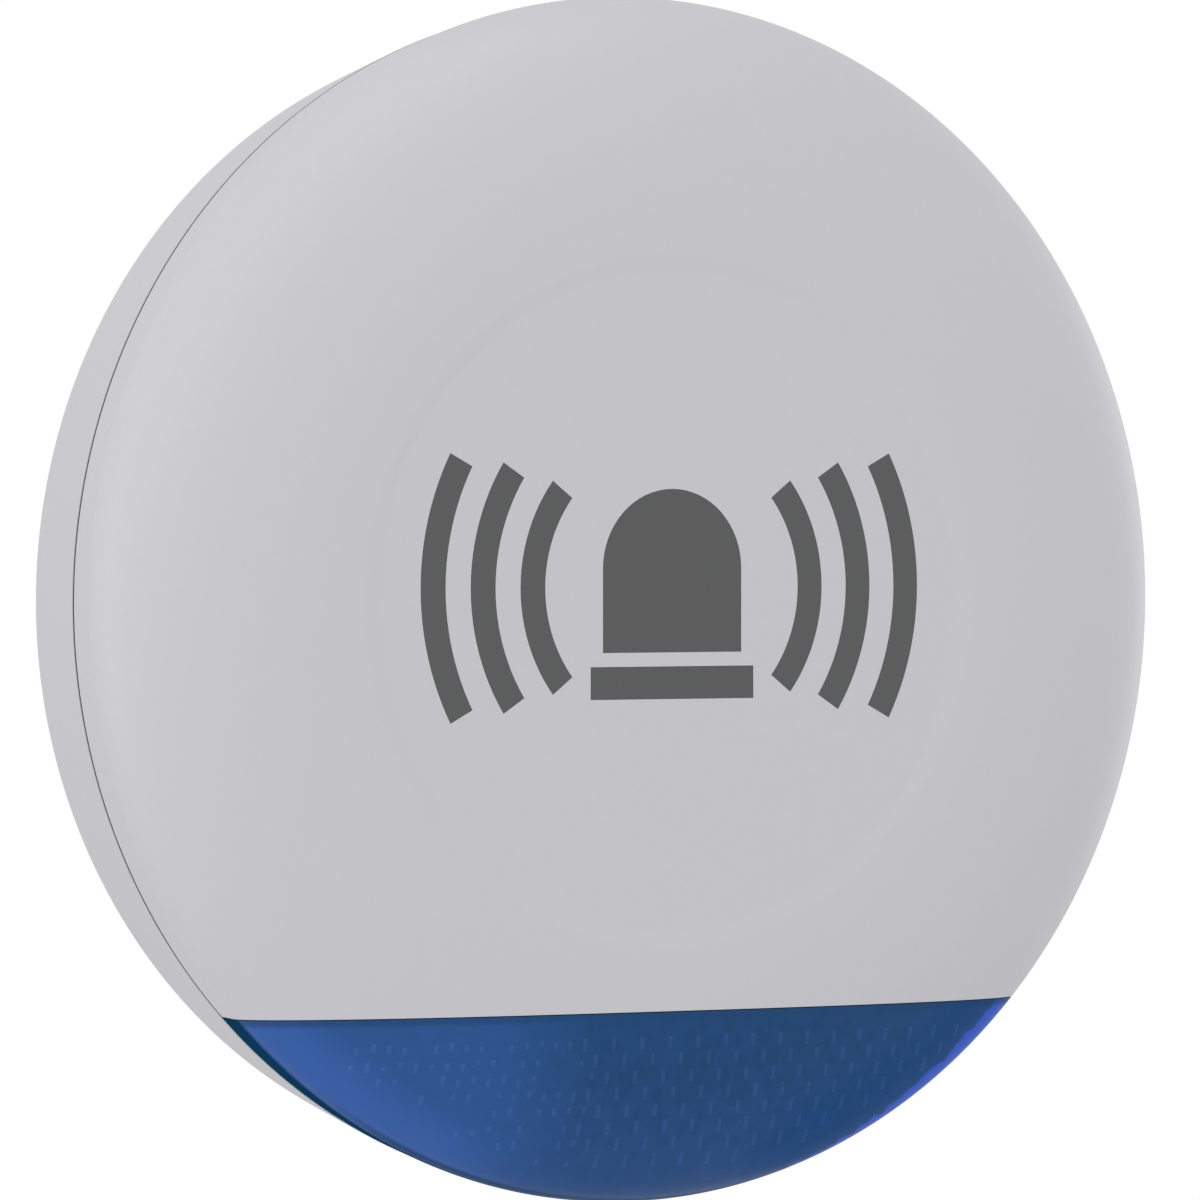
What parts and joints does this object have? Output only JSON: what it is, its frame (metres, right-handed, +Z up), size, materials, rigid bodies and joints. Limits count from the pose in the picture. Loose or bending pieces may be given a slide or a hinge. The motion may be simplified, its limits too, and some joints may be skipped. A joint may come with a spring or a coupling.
{
  "type": "outdoor alarm siren",
  "caption": "Round wall-mounted alarm siren: shallow grey dished housing with a domed hinged cover, blue prismatic strobe lens across the bottom, horn, board and cells inside.",
  "frame": {"origin": "centre of the rear housing's flat back, on the wall plane", "axes": "+X right seen from the front, +Y into the wall so the cover faces -Y, +Z up towards the hinge"},
  "size_m": [0.26, 0.0573, 0.26],
  "materials": {
    "housing_plastic": "fine matt light grey weatherproof plastic",
    "cover_plastic": "fine satin light grey weatherproof plastic",
    "lens_blue": "clear deep blue moulded plastic with prisms inside",
    "mark_grey": "matt dark grey print",
    "rubber_black": "matt",
    "vial_clear": "clear",
    "steel": "zinc plated",
    "black_plastic": "fine matt",
    "white_plastic": "satin",
    "brass": "satin",
    "ceramic_white": "matt silvered",
    "board_green": "gloss lacquer",
    "board_white": "gloss lacquer",
    "led_yellow": "clear resin",
    "reflector_chrome": "polished",
    "ferrite": "matt",
    "copper": "enamelled wire",
    "can_aluminium": "satin",
    "terminal_green": "satin",
    "cell_jacket": "printed sleeve",
    "lead_black": "smooth",
    "lead_red": "smooth"
  },
  "bodies": {
    "housing": {"rear_housing": "housing_plastic", "cable_grommet": "rubber_black", "perimeter_gasket": "rubber_black", "level_vial": "vial_clear", "hinge_pin": "steel", "horn_screws": "steel", "main_board_screws": "steel", "led_board_screws": "steel", "terminal_screws": "steel", "battery_springs": "steel", "battery_contacts": "steel", "radio_module": "steel", "horn_body": "black_plastic", "horn_cap": "black_plastic", "battery_tray": "black_plastic", "front_tamper_body": "black_plastic", "rear_tamper_body": "black_plastic", "button_body": "black_plastic", "power_switch_body": "black_plastic", "controller_chip": "black_plastic", "piezo_disc": "brass", "cover_screw_insert": "brass", "antenna": "brass", "piezo_ceramic": "ceramic_white", "main_board": "board_green", "led_board": "board_white", "strobe_leds": "led_yellow", "strobe_reflector": "reflector_chrome", "transformer_core": "ferrite", "transformer_coil": "copper", "capacitors": "can_aluminium", "terminal_block": "terminal_green", "battery_cells": "cell_jacket", "horn_leads": "lead_black", "battery_lead_black": "lead_black", "battery_lead_red": "lead_red", "strobe_wires": "lead_red"},
    "cover": {"front_cover": "cover_plastic", "strobe_lens": "lens_blue", "lens_screws": "steel", "front_emblem": "mark_grey"},
    "closing_screw": {"cover_screw": "steel"},
    "front_tamper": {"front_tamper_plunger": "white_plastic"},
    "rear_tamper": {"rear_tamper_plunger": "white_plastic"},
    "learn_button": {"button_cap": "white_plastic"},
    "power_slider": {"power_switch_knob": "white_plastic"}
  },
  "joints": [
    {"name": "cover_hinge", "type": "hinge", "parent": "housing", "child": "cover", "pos_m": [0, -0.02835, 0.1249], "axis": [-1, 0, 0], "range_deg": [0, 75]},
    {"name": "cover_screw_turn", "type": "hinge", "parent": "housing", "child": "closing_screw", "pos_m": [0, -0.018, -0.12], "axis": [0, 0, -1], "continuous": true},
    {"name": "front_tamper_press", "type": "slide", "parent": "housing", "child": "front_tamper", "axis": [0, 1, 0], "range_m": [0, 0.002], "stiffness_N_per_m": 300},
    {"name": "rear_tamper_press", "type": "slide", "parent": "housing", "child": "rear_tamper", "axis": [0, -1, 0], "range_m": [0, 0.0015], "stiffness_N_per_m": 300},
    {"name": "learn_button_press", "type": "slide", "parent": "housing", "child": "learn_button", "axis": [0, 1, 0], "range_m": [0, 0.0004], "stiffness_N_per_m": 800},
    {"name": "power_switch_slide", "type": "slide", "parent": "housing", "child": "power_slider", "axis": [0, 0, 1], "range_m": [0, 0.0044]}
  ]
}
